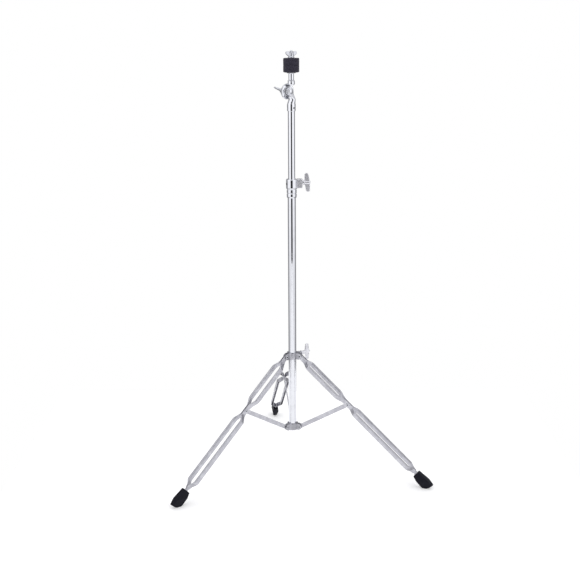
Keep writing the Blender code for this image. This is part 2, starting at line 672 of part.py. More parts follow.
def make_tilter_nut(frame):
    """Its wings stand in a plane through the tilting axis, and lean back over the hub."""
    nut_low = HEAD_BACK + GAP
    nut_high = 0.0400
    hub = [(0.0058, nut_high), (0.0075, nut_low + 0.004), (0.0082, nut_low), (0.0032 + GAP, nut_low),
           (0.0032 + GAP, nut_high)]
    line = empty("tilter_nut_line", frame, (0, 0, 0), (-61, 0, 0))
    nut = turned("tilter_wing_nut", hub, line, rotation=(0, 90, 0), steps=20, closed=True)
    for name, sign in (("up", 1), ("down", -1)):
        shape = [(nut_low + 0.002, 0.0050), (nut_high - 0.001, 0.0048), (0.0500, 0.0150)]
        shape += arc((0.0465, 0.0180), 0.0042, -10, 150, 7) + [(nut_low + 0.0055, 0.0100)]
        wing = flat("tilter_nut_wing_" + name, [[(x, sign * y) for x, y in shape]], 0.0016, line,
                    rotation=UPRIGHT, group=cutters)
        bevel(wing, 0.0006, 1)
        boolean(nut, wing, "UNION")
    piece(nut, CHROME)


# ---- Cymbal post ------------------------------------------------------------------------------------

def make_cymbal_post():
    seat_low = COLLAR_TOP + GAP
    bore = ROD_R + GAP
    seat = [(0.0120, SEAT_TOP), (0.0120, SEAT_TOP - 0.0012), (POST_R, SEAT_TOP - 0.0018),
            (POST_R, seat_low), (bore, seat_low), (bore, SEAT_TOP)]
    piece(turned("cymbal_seat", seat, column, closed=True), CHROME)
    rod = [(0, ROD_TOP), (ROD_R - 0.001, ROD_TOP), (ROD_R, ROD_TOP - 0.001),
           (ROD_R, COLLAR_TOP - 0.0075), (0, COLLAR_TOP - 0.0075)]
    piece(turned("cymbal_rod", rod, column, steps=16), CHROME)
    sleeve = ring(bore, SLEEVE_R, FELT_LOW, FELT_TOP - 0.003)
    piece(turned("cymbal_sleeve", sleeve, column, closed=True), NYLON)
    outside, meeting = 0.0018, 0.0005
    for name, low, under, over in (("felt_lower", FELT_LOW, outside, meeting),
                                   ("felt_upper", FELT_MID, meeting, outside)):
        high = low + FELT_TALL
        profile = [(FELT_R - over, high), (FELT_R, high - over), (FELT_R, low + under),
                   (FELT_R - under, low), (FELT_BORE_R, low), (FELT_BORE_R, high)]
        piece(turned(name, profile, column, closed=True), FELT)


def make_top_nut():
    low = FELT_TOP + GAP
    line = empty("top_nut_line", column, (0, 0, low), (0, 0, 20))
    bore = ROD_R + GAP
    tall = 0.0135
    hub = [(0.0058, tall), (0.0068, 0.0030), (0.0088, 0.0016), (0.0088, 0), (bore, 0), (bore, tall)]
    nut = turned("top_wing_nut", hub, line, steps=20, closed=True)
    for name, sign in (("left", -1), ("right", 1)):
        shape = [(0.0052, 0.0018), (0.0092, 0.0044), (0.0142, 0.0080)]
        shape += arc((0.0121, 0.0121), 0.0045, -35, 95, 7) + [(0.0052, 0.0160)]
        wing = flat("top_nut_wing_" + name, [[(sign * x, y) for x, y in shape]], 0.0017, line,
                    rotation=UPRIGHT, group=cutters)
        bevel(wing, 0.0006, 1)
        boolean(nut, wing, "UNION")
    piece(nut, CHROME)


make_base_tube()
make_upper_tube()
make_hubs()
make_legs()
make_wing_bolts()
make_clamp()
tilt_frame = empty("tilt_axis", column, (0, 0, TILT_Z), (0, 0, TILT_ANGLE))
make_tilter_base(tilt_frame)
make_tilter_bolt(tilt_frame)
make_tilter_head(tilt_frame)
make_tilter_nut(tilt_frame)
make_cymbal_post()
make_top_nut()
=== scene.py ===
import json
import math

import bmesh
import bpy
from mathutils import Matrix, Vector, noise


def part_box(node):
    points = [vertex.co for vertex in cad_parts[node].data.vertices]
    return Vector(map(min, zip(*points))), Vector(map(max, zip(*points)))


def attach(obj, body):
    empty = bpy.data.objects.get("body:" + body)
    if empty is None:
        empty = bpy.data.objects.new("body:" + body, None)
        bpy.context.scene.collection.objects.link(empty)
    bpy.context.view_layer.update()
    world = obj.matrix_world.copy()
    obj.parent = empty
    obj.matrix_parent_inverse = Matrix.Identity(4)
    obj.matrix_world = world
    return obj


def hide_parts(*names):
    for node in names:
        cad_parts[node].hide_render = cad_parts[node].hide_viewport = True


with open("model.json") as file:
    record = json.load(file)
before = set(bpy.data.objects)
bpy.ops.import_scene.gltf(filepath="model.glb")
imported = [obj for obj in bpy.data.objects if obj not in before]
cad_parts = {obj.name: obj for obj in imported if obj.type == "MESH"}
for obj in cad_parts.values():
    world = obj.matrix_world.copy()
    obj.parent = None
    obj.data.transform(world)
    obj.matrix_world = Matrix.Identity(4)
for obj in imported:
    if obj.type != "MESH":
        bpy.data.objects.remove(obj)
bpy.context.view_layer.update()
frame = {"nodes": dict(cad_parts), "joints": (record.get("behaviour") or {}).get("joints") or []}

# ---- Where things are ----------------------------------------------------------------------------

UP = Vector((0, 0, 1))
GAP = 0.00035                 # clearance between pieces that fit together
SIDES = ("back", "left", "right")
joints = {joint["name"]: joint for joint in frame["joints"]}


def middle(node):
    low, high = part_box(node)
    return (low + high) / 2


def low_z(node):
    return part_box(node)[0].z


def high_z(node):
    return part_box(node)[1].z


pole = middle("base_tube")
pole.z = 0.0
column = Matrix.Translation(pole)


def axes(origin, along, across):
    """A frame with X along, Y across and Z at right angles to both."""
    x = along.normalized()
    z = x.cross(across).normalized()
    y = z.cross(x)
    turn = Matrix((x, y, z)).transposed()
    return Matrix.Translation(origin) @ turn.to_4x4()


def axle(origin, direction):
    """A frame whose Z runs along an axle, with X level where it can be."""
    z = direction.normalized()
    side = UP if abs(z.z) < 0.9 else Vector((1, 0, 0))
    x = side.cross(z).normalized()
    turn = Matrix((x, z.cross(x), z)).transposed()
    return Matrix.Translation(origin) @ turn.to_4x4()


def middle_joint(side):
    """The point where a leg and its brace are riveted together."""
    return (middle("mid_rivet_a_" + side) + middle("mid_rivet_b_" + side)) / 2


def leg_frame(side):
    """X down the leg from its hinge, Y across it, Z out of its upper face."""
    joint = joints["leg_fold_" + side]
    hinge = Vector(joint["pos_m"])
    return axes(hinge, middle_joint(side) - hinge, Vector(joint["axis"]))


def brace_frame(side):
    """X out along the brace from its hinge on the lower hub."""
    joint = joints["brace_fold_" + side]
    hinge = Vector(joint["pos_m"])
    return axes(hinge, middle_joint(side) - hinge, -Vector(joint["axis"]))


# ---- Outlines and profiles -----------------------------------------------------------------------

def arc(centre, radius, start, end, steps):
    """Points on an arc, from angle start to angle end in degrees."""
    turns = [math.radians(start + (end - start) * i / steps) for i in range(steps + 1)]
    return [(centre[0] + radius * math.cos(a), centre[1] + radius * math.sin(a)) for a in turns]


def soften(points, radius, closed=False, steps=4):
    """The same line with each corner rounded, and its ends kept where it is open."""
    points = [Vector(p) for p in points]
    count = len(points)
    line = []
    for i, corner in enumerate(points):
        if not closed and i in (0, count - 1):
            line.append(corner)
            continue
        before = points[i - 1] - corner
        after = points[(i + 1) % count] - corner
        reach = min(radius, before.length * 0.45, after.length * 0.45)
        start = corner + before.normalized() * reach
        end = corner + after.normalized() * reach
        for k in range(steps + 1):
            t = k / steps
            line.append(start * (1 - t) ** 2 + corner * (2 * t * (1 - t)) + end * t ** 2)
    return line


# ---- Shapes --------------------------------------------------------------------------------------

def turned(profile, steps=72, closed=False, edge=0.0):
    """A profile of (radius, height) points spun round Z; edge rounds its corners."""
    line = soften(profile, edge, closed) if edge else profile
    shape = bmesh.new()
    points = [shape.verts.new((max(point[0], 0), 0, point[1])) for point in line]
    ends = list(zip(points, points[1:]))
    if closed:
        ends.append((points[-1], points[0]))
    for pair in ends:
        shape.edges.new(pair)
    bmesh.ops.spin(shape, geom=shape.verts[:] + shape.edges[:], cent=(0, 0, 0), axis=(0, 0, 1),
                   angle=math.tau, steps=steps, use_merge=True)
    bmesh.ops.remove_doubles(shape, verts=shape.verts, dist=1e-6)
    bmesh.ops.recalc_face_normals(shape, faces=shape.faces)
    return shape


def plate(outline, half_thick, edge, segments=3):
    """A flat outline given thickness along Z, with its rims rounded."""
    shape = bmesh.new()
    face = shape.faces.new([shape.verts.new((x, y, -half_thick)) for x, y in outline])
    raised = bmesh.ops.extrude_face_region(shape, geom=[face])["geom"]
    lifted = [item for item in raised if isinstance(item, bmesh.types.BMVert)]
    bmesh.ops.translate(shape, vec=(0, 0, 2 * half_thick), verts=lifted)
    bmesh.ops.recalc_face_normals(shape, faces=shape.faces)
    rims = [e for e in shape.edges if abs(e.verts[0].co.z - e.verts[1].co.z) < 1e-7]
    bmesh.ops.bevel(shape, geom=rims, offset=edge, offset_type="OFFSET", segments=segments,
                    profile=0.5, affect="EDGES", material=-1)
    return shape


def loft(rings):
    """A closed body through rings of points, each extruded from the last; both ends are capped."""
    shape = bmesh.new()
    number = shape.verts.layers.int.new("number")
    ring = [shape.verts.new(point) for point in rings[0]]
    for i, vert in enumerate(ring):
        vert[number] = i
    edges = [shape.edges.new((a, b)) for a, b in zip(ring, ring[1:] + ring[:1])]
    shape.faces.new(ring)
    for points in rings[1:]:
        grown = bmesh.ops.extrude_edge_only(shape, edges=edges)["geom"]
        edges = [item for item in grown if isinstance(item, bmesh.types.BMEdge)]
        ring = [item for item in grown if isinstance(item, bmesh.types.BMVert)]
        for vert in ring:
            vert.co = points[vert[number]]
    ring.sort(key=lambda vert: vert[number])
    shape.faces.new(ring)
    bmesh.ops.recalc_face_normals(shape, faces=shape.faces)
    return shape


def moved(shape, matrix):
    bmesh.ops.transform(shape, matrix=matrix, verts=shape.verts)
    return shape


def joined(*shapes):
    """Several shapes in one, side by side."""
    whole = shapes[0]
    for other in shapes[1:]:
        spare = bpy.data.meshes.new("spare")
        other.to_mesh(spare)
        other.free()
        whole.from_mesh(spare)
        bpy.data.meshes.remove(spare)
    return whole


def as_object(name, shape):
    mesh = bpy.data.meshes.new(name)
    shape.to_mesh(mesh)
    shape.free()
    obj = bpy.data.objects.new(name, mesh)
    bpy.context.scene.collection.objects.link(obj)
    return obj


def settle(obj):
    """The object's mesh with its modifiers applied, as a shape; the object is removed."""
    bpy.context.view_layer.update()
    ready = obj.evaluated_get(bpy.context.evaluated_depsgraph_get())
    shape = bmesh.new()
    shape.from_mesh(ready.data)
    bpy.data.objects.remove(obj, do_unlink=True)
    return shape


def carved(shape, *cuts):
    """The shape after each (operation, tool) cut: UNION adds a tool, DIFFERENCE takes it away."""
    obj = as_object("blank", shape)
    tools = []
    for operation, tool_shape in cuts:
        tool = as_object("tool", tool_shape)
        cut = obj.modifiers.new("cut", "BOOLEAN")
        cut.operation = operation
        cut.solver = "EXACT"
        cut.object = tool
        tools.append(tool)
    result = settle(obj)
    for tool in tools:
        bpy.data.objects.remove(tool, do_unlink=True)
    bmesh.ops.remove_doubles(result, verts=result.verts, dist=1e-6)
    return result


def cast_copy(node, voxel, rounds):
    """A casting made from a node's own mesh, its edges softened as a die leaves them."""
    shape = bmesh.new()
    shape.from_mesh(frame["nodes"][node].data)
    bmesh.ops.remove_doubles(shape, verts=shape.verts, dist=1e-6)
    obj = as_object("casting", shape)
    skin = obj.modifiers.new("skin", "REMESH")
    skin.mode = "VOXEL"
    skin.voxel_size = voxel
    shape = settle(obj)
    for _ in range(rounds):
        bmesh.ops.smooth_vert(shape, verts=shape.verts, factor=0.5, use_axis_x=True,
                              use_axis_y=True, use_axis_z=True)
    return shape


def thread(radius, pitch, low, high, steps=28):
    """A screw thread round Z: a tooth wound up from low to high."""
    depth = pitch * 0.55
    shape = bmesh.new()
    tooth = ((radius - depth, 0), (radius, pitch * 0.38), (radius, pitch * 0.50),
             (radius - depth, pitch * 0.88))
    points = [shape.verts.new((r, 0, low + z)) for r, z in tooth]
    for pair in zip(points, points[1:] + points[:1]):
        shape.edges.new(pair)
    start = shape.faces.new(points)
    turns = (high - low) / pitch - 1
    count = max(int(turns * steps), 1)
    bmesh.ops.spin(shape, geom=[start], cent=(0, 0, 0), axis=(0, 0, 1),
                   angle=math.tau * count / steps, steps=count, dvec=(0, 0, pitch / steps),
                   use_merge=False)
    bmesh.ops.recalc_face_normals(shape, faces=shape.faces)
    return shape


# ---- Finishes ------------------------------------------------------------------------------------

class Wire:
    """A socket in shader maths; an expression on wires adds its Math nodes."""

    def __init__(self, nodes, socket):
        self.nodes = nodes
        self.socket = socket

    def maths(self, operation, first, second):
        return self.nodes.add("ShaderNodeMath", {"operation": operation}, {0: first, 1: second})

    def __add__(self, other):
        return self.maths("ADD", self, other)

    def __radd__(self, other):
        return self.maths("ADD", other, self)

    def __sub__(self, other):
        return self.maths("SUBTRACT", self, other)

    def __rsub__(self, other):
        return self.maths("SUBTRACT", other, self)

    def __mul__(self, other):
        return self.maths("MULTIPLY", self, other)

    def __rmul__(self, other):
        return self.maths("MULTIPLY", other, self)


class Nodes:
    """A node tree, and the one way in which nodes are added to it."""

    def __init__(self, tree):
        self.tree = tree

    def add(self, kind, settings=None, inputs=None, output=0):
        node = self.tree.nodes.new(kind)
        for key, value in (settings or {}).items():
            setattr(node, key, value)
        for key, value in (inputs or {}).items():
            self.feed(node.inputs[key], value)
        return Wire(self, node.outputs[output])

    def feed(self, socket, value):
        if isinstance(value, Wire):
            self.tree.links.new(value.socket, socket)
        else:
            socket.default_value = value

    def grain(self, place, size, stretch=(1, 1, 1), detail=3.0, roughness=0.5):
        """Noise with features of about this size, in metres, drawn out along an axis by stretch."""
        spot = self.add("ShaderNodeMapping", {"vector_type": "POINT"},
                        {"Vector": place, "Scale": stretch})
        return self.add("ShaderNodeTexNoise", None,
                        {"Vector": spot, "Scale": 1 / size, "Detail": detail,
                         "Roughness": roughness})

    def blend(self, amount, first, second):
        return self.add("ShaderNodeMix", {"data_type": "RGBA"},
                        {"Factor": amount, 6: first, 7: second}, output=2)

    def between(self, value, low, high, to_low, to_high):
        """The value's range low to high, laid smoothly over to_low to to_high."""
        return self.add("ShaderNodeMapRange", {"interpolation_type": "SMOOTHSTEP"},
                        {"Value": value, "From Min": low, "From Max": high,
                         "To Min": to_low, "To Max": to_high})

    def bump(self, height, distance, strength, normal=None):
        inputs = {"Height": height, "Distance": distance, "Strength": strength}
        if normal:
            inputs["Normal"] = normal
        return self.add("ShaderNodeBump", None, inputs)


def finish(name, metallic, constants=None):
    """A new material's nodes, its Object coordinates, and its shader's sockets."""
    material = bpy.data.materials.new(name)
    material.use_nodes = True
    nodes = Nodes(material.node_tree)
    shader = material.node_tree.nodes["Principled BSDF"].inputs
    shader["Metallic"].default_value = metallic
    for key, value in (constants or {}).items():
        shader[key].default_value = value
    place = nodes.add("ShaderNodeTexCoord", output="Object")
    return material, nodes, place, shader


def polished_chrome(name, stretch, base=(0.78, 0.79, 0.83, 1), low=0.045, high=0.13):
    """Bright plate over polished metal: polishing lines, handling haze and a soft waviness."""
    material, nodes, place, shader = finish(name, 1.0)
    haze = nodes.grain(place, 0.022, detail=4.0, roughness=0.6)
    lines = nodes.grain(place, 0.0009, stretch, detail=2.0)
    wave = nodes.grain(place, 0.011, detail=1.0)
    specks = nodes.grain(place, 0.0006, detail=1.0)
    cloud = nodes.between(haze, 0.42, 0.72, 0.0, 1.0)
    dust = nodes.between(specks, 0.70, 0.78, 0.0, 1.0)
    rough = low + cloud * (high - low) + lines * 0.02 + dust * 0.03
    tone = nodes.blend(cloud, base, tuple(0.93 * c for c in base[:3]) + (1,))
    nodes.feed(shader["Base Color"], tone)
    nodes.feed(shader["Roughness"], rough)
    soft = nodes.bump(wave, 0.00004, 0.2)
    fine = nodes.bump(lines, 0.000004, 0.25, soft)
    nodes.feed(shader["Normal"], fine)
    return material


def dull_plate(name, stretch, base=(0.60, 0.60, 0.645, 1), edge=(0.70, 0.70, 0.74, 1), rough=0.30,
               pebble=0.0011, depth=0.00003):
    """Plate over unpolished steel or a casting: it keeps the metal's grain."""
    material, nodes, place, shader = finish(name, 1.0)
    cloud = nodes.grain(place, 0.016, detail=5.0, roughness=0.6)
    grain = nodes.grain(place, 0.0008, stretch, detail=3.0)
    skin = nodes.grain(place, pebble, detail=2.0)
    worn = nodes.between(cloud, 0.40, 0.66, 0.0, 1.0)
    nodes.feed(shader["Base Color"], nodes.blend(worn, base, edge))
    nodes.feed(shader["Roughness"], rough + (1 - worn) * 0.07 + grain * 0.08)
    coarse = nodes.bump(skin, depth, 0.5)
    nodes.feed(shader["Normal"], nodes.bump(grain, 0.00001, 0.5, coarse))
    return material


def moulded_nylon(name, dark, pale):
    material, nodes, place, shader = finish(name, 0.0, {"Specular IOR Level": 0.45})
    cloud = nodes.grain(place, 0.006, detail=4.0)
    spark = nodes.grain(place, 0.0005, detail=2.0)
    nodes.feed(shader["Base Color"],
               nodes.blend(cloud, dark, pale))
    nodes.feed(shader["Roughness"], 0.34 + spark * 0.22)
    nodes.feed(shader["Normal"], nodes.bump(spark, 0.00003, 0.5))
    return material


def black_rubber():
    """Moulded rubber: a fine spark-eroded skin, with paler scuffs."""
    material, nodes, place, shader = finish("black_rubber", 0.0, {"Specular IOR Level": 0.14})
    skin = nodes.grain(place, 0.0007, detail=3.0)
    cloud = nodes.grain(place, 0.008, detail=5.0, roughness=0.65)
    scuff = nodes.between(cloud, 0.52, 0.74, 0.0, 1.0)
    nodes.feed(shader["Base Color"],
               nodes.blend(scuff, (0.0035, 0.0035, 0.0085, 1), (0.011, 0.011, 0.020, 1)))
    nodes.feed(shader["Roughness"], 0.42 + scuff * 0.20 + skin * 0.12)
    nodes.feed(shader["Normal"], nodes.bump(skin, 0.00006, 0.6))
    return material


def wool_felt():
    """Pressed wool: matted fibres that lie mostly level, with lighter stray ones."""
    material, nodes, place, shader = finish("wool_felt", 0.0,
                                            {"Sheen Weight": 0.12, "Sheen Roughness": 0.6,
                                             "Specular IOR Level": 0.1})
    matted = nodes.grain(place, 0.0042, (1, 1, 1.9), detail=5.0, roughness=0.65)
    fibre = nodes.grain(place, 0.0010, (1, 1, 3.0), detail=4.0, roughness=0.7)
    cross = nodes.grain(place, 0.0008, (2.6, 1, 0.8), detail=3.0, roughness=0.7)
    stray = nodes.between(cross, 0.56, 0.70, 0.0, 1.0)
    cloth = nodes.blend(nodes.between(matted, 0.35, 0.65, 0.0, 1.0),
                        (0.019, 0.017, 0.028, 1), (0.046, 0.042, 0.062, 1))
    nodes.feed(shader["Base Color"], nodes.blend(stray, cloth, (0.125, 0.118, 0.142, 1)))
    nodes.feed(shader["Roughness"], 0.86 + fibre * 0.14)
    lumps = nodes.bump(matted, 0.0006, 0.6)
    nodes.feed(shader["Normal"], nodes.bump(fibre + stray * 0.5, 0.0003, 0.8, lumps))
    return material


ROUND_THE_TUBE = (0.05, 0.05, 1.0)
ALL_WAYS = (1.0, 1.0, 1.0)
tube_chrome = polished_chrome("tube_chrome", ROUND_THE_TUBE, low=0.03, high=0.09)
part_chrome = polished_chrome("part_chrome", ALL_WAYS, low=0.07, high=0.16)
rivet_chrome = polished_chrome("rivet_chrome", ALL_WAYS, base=(0.60, 0.61, 0.65, 1), low=0.12,
                               high=0.22)
satin_chrome = dull_plate("satin_chrome", ALL_WAYS, base=(0.74, 0.74, 0.78, 1),
                          edge=(0.81, 0.81, 0.85, 1), rough=0.33, pebble=0.0024, depth=0.00001)
pressed_plate = dull_plate("pressed_plate", (1.0, 1.0, 0.25), base=(0.49, 0.49, 0.53, 1),
                           edge=(0.58, 0.58, 0.62, 1))
cast_plate = dull_plate("cast_plate", ALL_WAYS, base=(0.36, 0.36, 0.39, 1),
                        edge=(0.48, 0.48, 0.52, 1), rough=0.22, pebble=0.0022, depth=0.00008)
# Painted shade: a near-black metal for the unplated inside of rivet holes, far darker than bare
# steel.
unplated_hole_shade = dull_plate("unplated_hole_shade", ALL_WAYS, base=(0.07, 0.07, 0.08, 1),
                        edge=(0.12, 0.12, 0.13, 1), rough=0.45)
nylon = moulded_nylon("black_nylon", (0.018, 0.018, 0.020, 1), (0.034, 0.034, 0.037, 1))
pale_nylon = moulded_nylon("pale_nylon", (0.40, 0.40, 0.42, 1), (0.48, 0.48, 0.50, 1))
rubber = black_rubber()
felt = wool_felt()


# ---- Pieces --------------------------------------------------------------------------------------

def add(name, shape, look, slot, body, *nodes, smooth=50.0, weigh=True):
    """A finished piece: shaded, painted, riding on its body and standing for its nodes."""
    piece = as_object(name, shape)
    piece.data.shade_smooth()
    piece.data.set_sharp_from_angle(angle=math.radians(smooth))
    if weigh:
        weights = piece.modifiers.new("weights", "WEIGHTED_NORMAL")
        weights.keep_sharp = True
    piece.data.materials.append(look)
    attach(piece, body)
    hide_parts(*nodes)
    return piece


# Column

TUBE_WALL = 0.0012
BASE_TUBE_R = 0.0111
UPPER_TUBE_R = 0.009525


def tube_profile(radius, low, high):
    inner = radius - TUBE_WALL
    return [(radius, high), (radius, low), (inner, low), (inner, high)]


def make_column():
    for name, node, radius, body in (("lower_tube", "base_tube", BASE_TUBE_R, "base"),
                                     ("sliding_tube", "upper_tube", UPPER_TUBE_R, "mast")):
        profile = tube_profile(radius, low_z(node), high_z(node))
        shape = turned(profile, 96, closed=True, edge=0.0004)
        add(name, moved(shape, column), tube_chrome, "chrome", body, node)

    low, high = low_z("base_end_plug"), high_z("base_end_plug")
    inner = BASE_TUBE_R - TUBE_WALL - 0.0004
    profile = [(0, high), (inner, high), (inner, low + 0.0033), (BASE_TUBE_R, low + 0.0030),
               (BASE_TUBE_R, low + 0.0012), (BASE_TUBE_R - 0.0012, low), (0.0060, low),
               (0.0055, low + 0.0012), (0, low + 0.0012)]
    add("tube_end_plug", moved(turned(profile, 64, edge=0.0004), column), nylon, "nylon", "base",
        "base_end_plug")

    low, high = low_z("guide_plug"), high_z("guide_plug")
    shank = UPPER_TUBE_R - TUBE_WALL - 0.0004
    flange = BASE_TUBE_R - TUBE_WALL - 0.0004
    profile = [(0, high), (shank, high), (shank, low + 0.0127), (flange, low + 0.0125),
               (flange, low + 0.0075), (flange - 0.0008, low + 0.0065), (flange, low + 0.0055),
               (flange, low), (0, low)]
    add("tube_guide", moved(turned(profile, 64, edge=0.0005), column), nylon, "nylon", "guide",
        "guide_plug")


# Hubs and rivets

HINGE_RIVET_R, HINGE_SHANK_R = 0.0045, 0.0025
STEM_RIVET_R, STEM_SHANK_R = 0.0033, 0.0018


def rivet_head(radius, tall, seat):
    """The rolled-over head of a tubular rivet, from the bottom of its hole to its seat."""
    hole = radius * 0.42
    return [(0, seat - tall * 0.5), (hole, seat - tall * 0.5), (hole, seat + tall * 0.70),
            (hole + radius * 0.12, seat + tall), (radius * 0.74, seat + tall * 0.93),
            (radius * 0.92, seat + tall * 0.55), (radius, seat + tall * 0.16), (radius, seat)]


def paint_hole_shade(piece, line, radius):
    """Paints shade into the inside of a rivet's holes: the unplated steel there is drawn as
    near-black metal.
    """
    piece.data.materials.append(unplated_hole_shade)
    inside = line.inverted()
    for face in piece.data.polygons:
        spot = inside @ face.center
        if math.hypot(spot.x, spot.y) < radius * 0.43:
            face.material_index = 1


def make_rivet(name, node, body, direction, head_r, shank_r):
    """A rivet with two heads, as long as its node."""
    low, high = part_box(node)
    reach = max(abs(direction.x), abs(direction.y))
    across = Vector((high.x - low.x, high.y - low.y, 0))
    width = across.dot(Vector((abs(direction.x), abs(direction.y), 0)))
    level = min(abs(direction.x), abs(direction.y))
    half = (width - 4 * head_r * level * reach) / 2
    tall = head_r * 0.42
    grip = half - tall
    head = rivet_head(head_r, tall, grip)
    profile = head + [(shank_r, grip)]
    profile += [(r, -z) for r, z in reversed(profile)]
    line = axle(middle(node), direction)
    rivet = add(name, moved(turned(profile, 40, edge=0.0003), line), rivet_chrome, "chrome",
                body, node)
    paint_hole_shade(rivet, line, head_r)


def make_hubs():
    add("leg_hub", cast_copy("upper_hub", 0.00036, 2), cast_plate, "plated_steel", "upper_hub",
        "upper_hub", smooth=180.0)
    add("brace_hub", cast_copy("lower_hub", 0.00036, 2), cast_plate, "plated_steel", "base",
        "lower_hub", smooth=180.0)
    for side in SIDES:
        across = Vector(joints["leg_fold_" + side]["axis"])
        make_rivet("leg_hinge_rivet_" + side, "leg_rivet_" + side, "upper_hub", across,
                   HINGE_RIVET_R, HINGE_SHANK_R)
        make_rivet("brace_hinge_rivet_" + side, "brace_rivet_" + side, "base", across,
                   HINGE_RIVET_R, HINGE_SHANK_R)


# Legs

RAIL_START = -0.0060
RAIL_END = 0.4500
RAIL_DEPTH = 0.0116
TONGUE_DEPTH = 0.0134
TONGUE_IN, TONGUE_OUT = 0.0016, 0.0031
SPREAD_IN, SPREAD_OUT = 0.0116, 0.0186
SHEET = 0.0011
OPENINGS = ((0.023, 0.038, 0.152, 0.174), (0.203, 0.221, 0.426, 0.440))
BEND = 0.0045                 # half the length of the bend at each end of a ramp
STRAP_HALF_THICK = 0.00125


MID_JOINT = (leg_frame("back").inverted() @ middle_joint("back")).x


def openness(s):
    """0 where a rail is a flat tongue, 1 where it is a full channel, with rounded bends between."""
    total = 0.0
    samples = 9
    for i in range(samples):
        spot = s + BEND * (2 * i / (samples - 1) - 1)
        for leave, spread, close, back in OPENINGS:
            rise = min(max((spot - leave) / (spread - leave), 0), 1)
            fall = min(max((back - spot) / (back - close), 0), 1)
            total += min(rise, fall) / samples
    return total


def rail_stations():
    """Places along a rail: close together at its ends and ramps, far apart between them."""
    end = TONGUE_DEPTH / 2
    places = []
    for i in range(9):
        turn = math.radians(6 + 84 * i / 8)
        places += [RAIL_START + end * (1 - math.cos(turn)), RAIL_END - end * (1 - math.cos(turn))]
    for leave, spread, close, back in OPENINGS:
        for start, finish_at in ((leave, spread), (close, back)):
            count = round((finish_at - start + 2 * BEND) / 0.0018)
            places += [start - BEND + (finish_at - start + 2 * BEND) * i / count
                       for i in range(count + 1)]
        places += [spread + (close - spread) * i / 8 for i in range(1, 8)]
    places.append(sum(OPENINGS[0][3:] + OPENINGS[1][:1]) / 2)
    return sorted(places)


def rail_section(s, sign):
    """The channel's section at s: a folded sheet, open underneath."""
    share = openness(s)
    inner = TONGUE_IN + share * (SPREAD_IN - TONGUE_IN)
    outer = TONGUE_OUT + share * (SPREAD_OUT - TONGUE_OUT)
    half = (outer - inner) / 2
    deep = TONGUE_DEPTH / 2
    depth = deep + share * (RAIL_DEPTH / 2 - deep)
    to_end = min(s - RAIL_START, RAIL_END - s)
    if to_end < deep:
        depth = min(depth, math.sqrt(max(deep ** 2 - (deep - to_end) ** 2, 0)))
    sheet = min(SHEET, half - 0.00006)
    corner = min(0.0022, half * 0.9, depth * 0.5)
    fold = max(corner - sheet, 0.00004)
    outside = arc((half - corner, depth - corner), corner, 0, 90, 4)
    inside = arc((half - sheet - fold, depth - sheet - fold), fold, 0, 90, 4)
    right = [(half, -depth)] + outside
    left = [(-x, y) for x, y in reversed(right)]
    hollow_left = [(-half + sheet, -depth)] + [(-x, y) for x, y in inside]
    hollow_right = [(-x, y) for x, y in reversed(hollow_left)]
    section = right + left + hollow_left + hollow_right
    centre = (inner + outer) / 2
    return [Vector((s, sign * (centre + u), n)) for u, n in section]


def foot_corners():
    """The boot's corners in its own leg's upright plane: r, z and half the width there."""
    return ((0.3710, 0.0468, 0.0074), (0.3578, 0.0322, 0.0072), (0.3662, 0.0200, 0.0096),
            (0.3997, 0.0248, 0.0096), (0.3795, 0.0035, 0.0060), (0.3840, 0.0, 0.0046),
            (0.3945, 0.0, 0.0042), (0.4035, 0.0042, 0.0048), (0.4125, 0.0125, 0.0046))


def make_boot(side):
    """A rubber boot: a faceted wedge with soft edges, standing on the middle of its sole."""
    joint = joints["leg_fold_" + side]
    across = Vector(joint["axis"])
    out = across.cross(UP)
    shape = bmesh.new()
    for r, z, half_width in foot_corners():
        for sign in (-1, 1):
            shape.verts.new(pole + out * r + across * (sign * half_width) + UP * z)
    bmesh.ops.convex_hull(shape, input=shape.verts)
    bmesh.ops.dissolve_limit(shape, angle_limit=math.radians(1), verts=shape.verts,
                             edges=shape.edges)
    bmesh.ops.recalc_face_normals(shape, faces=shape.faces)
    bmesh.ops.bevel(shape, geom=shape.edges[:], offset=0.0011, offset_type="OFFSET", segments=3,
                    profile=0.5, affect="EDGES", clamp_overlap=True, material=-1)
    return shape


def make_legs():
    for side in SIDES:
        line = leg_frame(side)
        across = Vector(joints["leg_fold_" + side]["axis"])
        body = "leg_" + side
        for letter, sign in (("a", 1), ("b", -1)):
            shape = loft([rail_section(s, sign) for s in rail_stations()])
            add(f"leg_rail_{letter}_{side}", moved(shape, line), pressed_plate, "plated_steel",
                body, f"rail_{letter}_{side}", smooth=40.0)
            node = f"mid_rivet_{letter}_{side}"
            grip = TONGUE_OUT + GAP
            profile = rivet_head(HINGE_RIVET_R, 0.0019, grip)
            profile += [(HINGE_SHANK_R, grip), (HINGE_SHANK_R, TONGUE_IN)]
            profile.append((0, TONGUE_IN))
            own = axle(line @ Vector((MID_JOINT, 0, 0)), across * sign)
            rivet = add(f"middle_rivet_{letter}_{side}",
                        moved(turned(profile, 40, edge=0.0003), own), rivet_chrome, "chrome",
                        body, node)
            paint_hole_shade(rivet, own, HINGE_RIVET_R)
        make_rivet("stem_rivet_" + side, "foot_rivet_" + side, body, across,
                   STEM_RIVET_R, STEM_SHANK_R)
        stem = arc((0.4690, 0), 0.0052, -90, 90, 10) + arc((0.4380, 0), 0.0052, 90, 270, 10)
        shape = plate(stem, STRAP_HALF_THICK, 0.0003)
        bmesh.ops.rotate(shape, cent=(0, 0, 0), matrix=Matrix.Rotation(math.pi / 2, 3, "X"),
                         verts=shape.verts)
        add("boot_stem_" + side, moved(shape, line), pressed_plate, "plated_steel", body,
            "foot_stem_" + side, smooth=40.0)
        add("rubber_boot_" + side, make_boot(side), rubber, "rubber", body, "foot_" + side,
            smooth=60.0)


